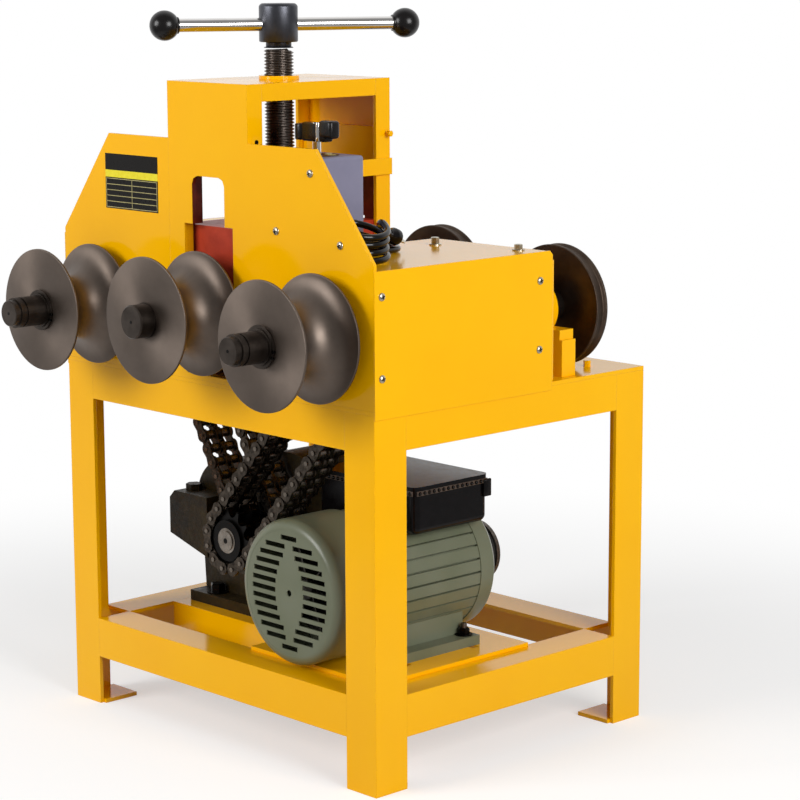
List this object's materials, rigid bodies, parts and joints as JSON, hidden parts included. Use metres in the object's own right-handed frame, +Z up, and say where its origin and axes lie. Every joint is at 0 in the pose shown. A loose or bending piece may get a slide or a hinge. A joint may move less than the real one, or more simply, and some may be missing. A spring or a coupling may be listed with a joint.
{
  "type": "powered three-roller tube bender",
  "caption": "Floor-standing three-roller tube bender: angle-iron stand, housing with press tower, screw with tommy bar, grooved rollers on chain-driven shafts, motor and gear case below.",
  "frame": {"origin": "on the floor under the middle of the machine's outer box", "axes": "+Z up, +Y from the forming rollers to the rear, +X to the right seen from the front"},
  "size_m": [0.578, 0.606, 0.902],
  "materials": {
    "yellow_paint": "gloss enamel",
    "oxide_primer": "matt primer",
    "bare_steel": "machined",
    "dark_steel": "satin, blackened",
    "chain_steel": "oiled",
    "chrome": "polished",
    "gear_case_paint": "painted casting",
    "motor_paint": "satin paint",
    "pulley_iron": "machined",
    "black_rubber": "satin",
    "switch_paint": "satin",
    "black_plastic": "moulded"
  },
  "bodies": {
    "stand": {"bearing_front_left": "dark_steel", "bearing_front_right": "dark_steel", "bearing_rear_left": "yellow_paint", "bearing_rear_right": "yellow_paint", "capacitor_box": "black_plastic", "capacitor_lid": "black_plastic", "carriage_guides": "oxide_primer", "chain_left": "chain_steel", "chain_right": "chain_steel", "cord_coil": "black_rubber", "cord_gland": "black_rubber", "deck_rails": "yellow_paint", "drive_belts": "black_rubber", "fan_cowl": "motor_paint", "front_plate": "yellow_paint", "gear_case": "gear_case_paint", "housing_rear_left": "yellow_paint", "housing_rear_right": "yellow_paint", "housing_top_left": "yellow_paint", "housing_top_right": "yellow_paint", "left_wing_plate": "yellow_paint", "leg_front_left": "yellow_paint", "leg_front_right": "yellow_paint", "leg_rear_left": "yellow_paint", "leg_rear_right": "yellow_paint", "lower_rails": "yellow_paint", "motor_base_plate": "yellow_paint", "motor_frame": "motor_paint", "plug": "black_rubber", "power_cord": "black_rubber", "screw_nut": "yellow_paint", "side_cover_left": "yellow_paint", "side_cover_right": "yellow_paint", "switch_box": "switch_paint", "switch_bracket": "yellow_paint", "table_top": "yellow_paint", "top_rails": "yellow_paint", "tower_cap": "yellow_paint", "tower_rear_channel": "yellow_paint"},
    "carriage": {"carriage": "oxide_primer"},
    "middle_shaft": {"shaft_middle": "dark_steel", "roller_front_middle": "dark_steel", "roller_rear_middle": "dark_steel"},
    "press_screw": {"press_screw": "dark_steel"},
    "tommy_bar": {"tommy_bar": "chrome"},
    "left_shaft": {"shaft_left": "dark_steel", "roller_front_left": "dark_steel", "roller_rear_left": "dark_steel", "sprocket_left": "chain_steel"},
    "right_shaft": {"shaft_right": "dark_steel", "roller_front_right": "dark_steel", "roller_rear_right": "dark_steel", "sprocket_right": "chain_steel"},
    "output_shaft": {"output_shaft": "bare_steel", "output_sprocket": "chain_steel"},
    "input_shaft": {"input_pulley": "pulley_iron"},
    "motor_rotor": {"motor_rotor": "pulley_iron", "motor_pulley": "pulley_iron"},
    "switch_handle": {"switch_handle": "black_plastic"}
  },
  "joints": [
    {"name": "screw_turn", "type": "hinge", "parent": "carriage", "child": "press_screw", "pos_m": [0, -0.043, 0.877], "axis": [0, 0, 1], "range_deg": [-2700, 12420]},
    {"name": "carriage_slide", "type": "slide", "parent": "stand", "child": "carriage", "axis": [0, 0, 1], "range_m": [-0.03, 0.138]},
    {"name": "tommy_bar_slide", "type": "slide", "parent": "press_screw", "child": "tommy_bar", "axis": [0.4384, 0.8988, 0], "range_m": [-0.1175, 0.0975]},
    {"name": "middle_shaft_turn", "type": "hinge", "parent": "carriage", "child": "middle_shaft", "pos_m": [0, -0.043, 0.538], "axis": [0, 1, 0], "continuous": true},
    {"name": "motor_turn", "type": "hinge", "parent": "stand", "child": "motor_rotor", "pos_m": [0.1165, -0.043, 0.209], "axis": [0, 1, 0], "continuous": true},
    {"name": "input_turn", "type": "hinge", "parent": "stand", "child": "input_shaft", "pos_m": [-0.1825, -0.043, 0.225], "axis": [0, 1, 0], "continuous": true},
    {"name": "output_turn", "type": "hinge", "parent": "stand", "child": "output_shaft", "pos_m": [-0.0445, -0.043, 0.24], "axis": [0, 1, 0], "continuous": true},
    {"name": "left_shaft_turn", "type": "hinge", "parent": "stand", "child": "left_shaft", "pos_m": [-0.208, -0.043, 0.53], "axis": [0, 1, 0], "continuous": true},
    {"name": "right_shaft_turn", "type": "hinge", "parent": "stand", "child": "right_shaft", "pos_m": [0.208, -0.043, 0.53], "axis": [0, 1, 0], "continuous": true},
    {"name": "switch_turn", "type": "hinge", "parent": "stand", "child": "switch_handle", "pos_m": [0.1325, -0.101, 0.74], "axis": [0, 0, 1], "range_deg": [-60, 60]}
  ],
  "couplings": [
    {"joint": "carriage_slide", "follows": "screw_turn", "m_per_rad": 0.00063662},
    {"joint": "input_turn", "follows": "motor_turn", "ratio": 0.5303},
    {"joint": "output_turn", "follows": "motor_turn", "ratio": -0.0088384},
    {"joint": "left_shaft_turn", "follows": "motor_turn", "ratio": -0.0088384},
    {"joint": "right_shaft_turn", "follows": "motor_turn", "ratio": -0.0088384}
  ]
}
